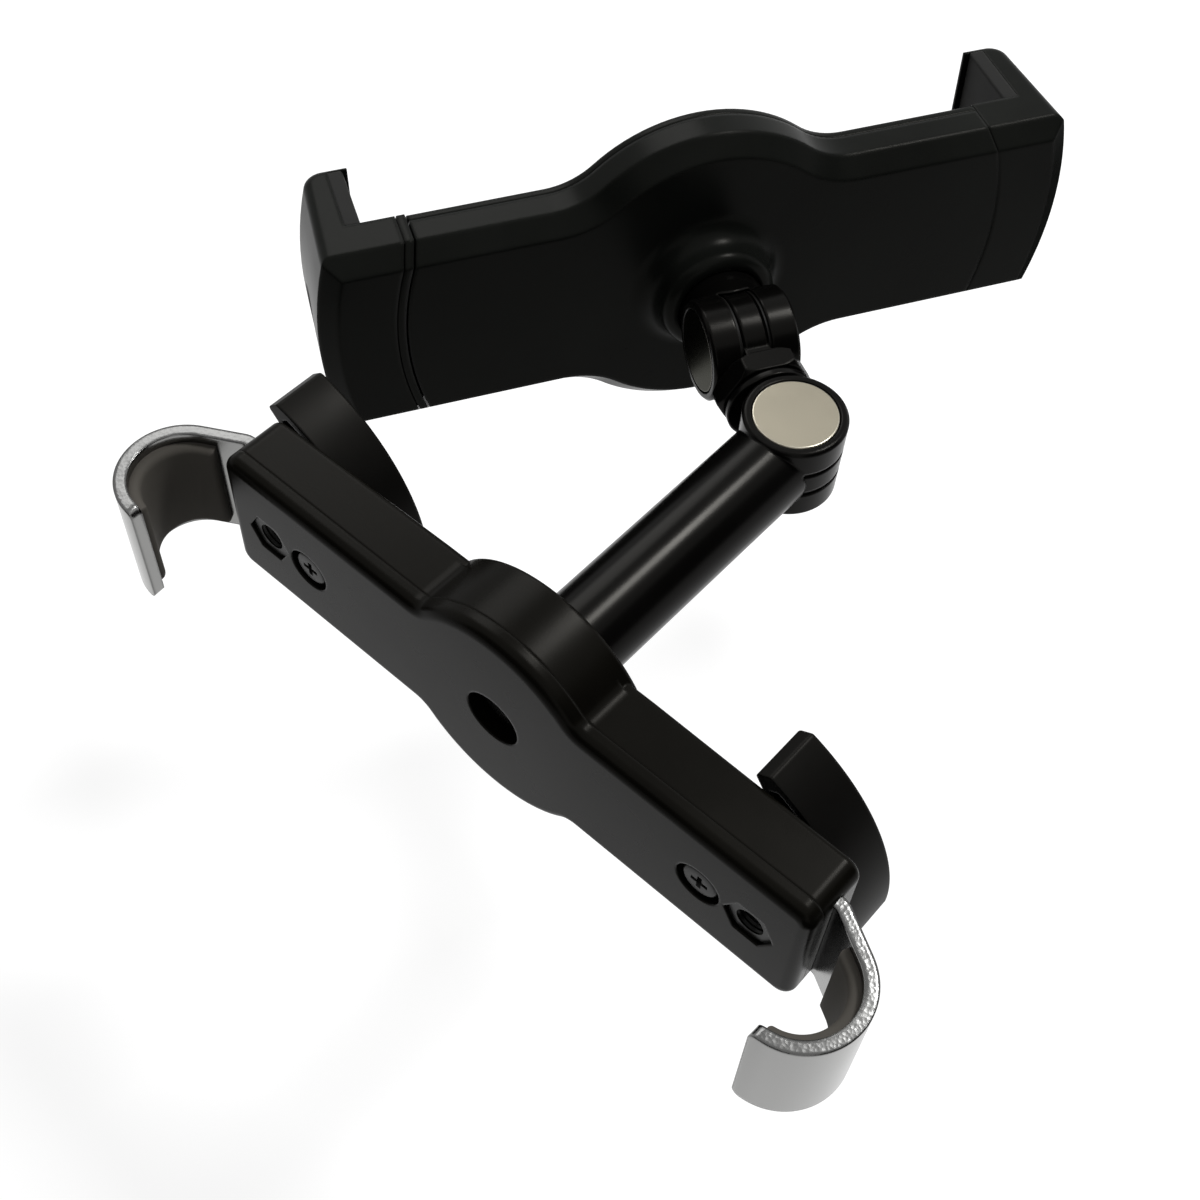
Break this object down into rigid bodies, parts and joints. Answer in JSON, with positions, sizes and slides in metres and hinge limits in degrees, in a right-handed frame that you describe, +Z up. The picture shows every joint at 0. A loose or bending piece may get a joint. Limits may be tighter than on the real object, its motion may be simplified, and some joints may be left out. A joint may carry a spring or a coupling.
{
  "type": "headrest tablet mount",
  "caption": "Bar with chrome hooks that clamps to headrest posts, with an arm, a swinging link, a tilt joint and a swivelling holder with a sprung jaw for a tablet.",
  "frame": {"origin": "midpoint between the axes of the two headrest posts, at the bar's mid height", "axes": "+X along the bar to the right seen from the seat front, +Y from the posts towards the tablet, +Z up along the posts"},
  "size_m": [0.1769, 0.1964, 0.0645],
  "materials": {
    "black_plastic": "satin black with a fine grain",
    "black_metal": "semi-gloss black paint",
    "satin_nickel": "warm satin plate",
    "hook_chrome": "bright plate, satin inside",
    "pad_rubber": "soft dark grey-brown rubber",
    "black_rubber": "matt black rubber",
    "black_steel": "blackened steel",
    "zinc_steel": "bright zinc plate",
    "washer_plastic": "dark nylon"
  },
  "bodies": {
    "clamp_bar": {"front_cover": "black_plastic", "rear_housing": "black_plastic", "cover_screws": "black_steel", "clamp_nuts": "black_steel", "clamp_washers": "zinc_steel", "arm": "black_metal", "arm_screw": "zinc_steel", "arm_washer": "zinc_steel", "elbow_screw": "zinc_steel", "elbow_nut": "zinc_steel", "elbow_top_cap": "satin_nickel", "elbow_bottom_cap": "satin_nickel", "elbow_washers": "washer_plastic"},
    "left_hook": {"left_hook": "hook_chrome", "left_hook_pad": "pad_rubber"},
    "right_hook": {"right_hook": "hook_chrome", "right_hook_pad": "pad_rubber"},
    "left_knob": {"left_knob": "black_plastic", "left_clamp_bolt": "black_steel"},
    "right_knob": {"right_knob": "black_plastic", "right_clamp_bolt": "black_steel"},
    "link": {"link_tongue": "black_metal", "hex_eye": "black_metal"},
    "clevis": {"tilt_clevis": "black_metal", "tilt_screw": "zinc_steel", "tilt_nut": "zinc_steel", "tilt_left_cap": "satin_nickel", "tilt_right_cap": "satin_nickel", "tilt_washers": "washer_plastic", "swivel_screw": "zinc_steel", "swivel_washer": "zinc_steel"},
    "holder": {"holder_rear_shell": "black_plastic", "holder_front_cover": "black_plastic", "holder_screws": "black_steel", "fixed_jaw": "black_plastic", "fixed_jaw_pad": "black_rubber", "jaw_springs": "zinc_steel"},
    "sliding_jaw": {"sliding_jaw": "black_plastic", "sliding_jaw_pad": "black_rubber"}
  },
  "joints": [
    {"name": "link_swing", "type": "hinge", "parent": "clamp_bar", "child": "link", "pos_m": [0, 0.0845, 0], "axis": [0, 0, 1], "range_deg": [-120.9, 3.1]},
    {"name": "holder_tilt", "type": "hinge", "parent": "link", "child": "clevis", "pos_m": [-0.02243, 0.09803, 0], "axis": [0.5165, 0.8563, 0], "range_deg": [-56, 64]},
    {"name": "holder_spin", "type": "hinge", "parent": "clevis", "child": "holder", "pos_m": [-0.03789, 0.10736, -0.00126], "axis": [-0.8542, 0.5153, -0.0698], "continuous": true},
    {"name": "jaw_slide", "type": "slide", "parent": "holder", "child": "sliding_jaw", "axis": [-0.5159, -0.8566, -0.0104], "range_m": [0, 0.06], "stiffness_N_per_m": 100, "springref_m": -0.05, "deforming": ["jaw_springs"]},
    {"name": "left_hook_slide", "type": "slide", "parent": "clamp_bar", "child": "left_hook", "axis": [-1, 0, 0], "range_m": [0, 0.015]},
    {"name": "right_hook_slide", "type": "slide", "parent": "clamp_bar", "child": "right_hook", "axis": [1, 0, 0], "range_m": [0, 0.015]},
    {"name": "left_knob_turn", "type": "hinge", "parent": "clamp_bar", "child": "left_knob", "pos_m": [-0.0527, 0.0202, 0], "axis": [0, 1, 0], "range_deg": [0, 720]},
    {"name": "right_knob_turn", "type": "hinge", "parent": "clamp_bar", "child": "right_knob", "pos_m": [0.0527, 0.0202, 0], "axis": [0, 1, 0], "range_deg": [0, 720]}
  ]
}
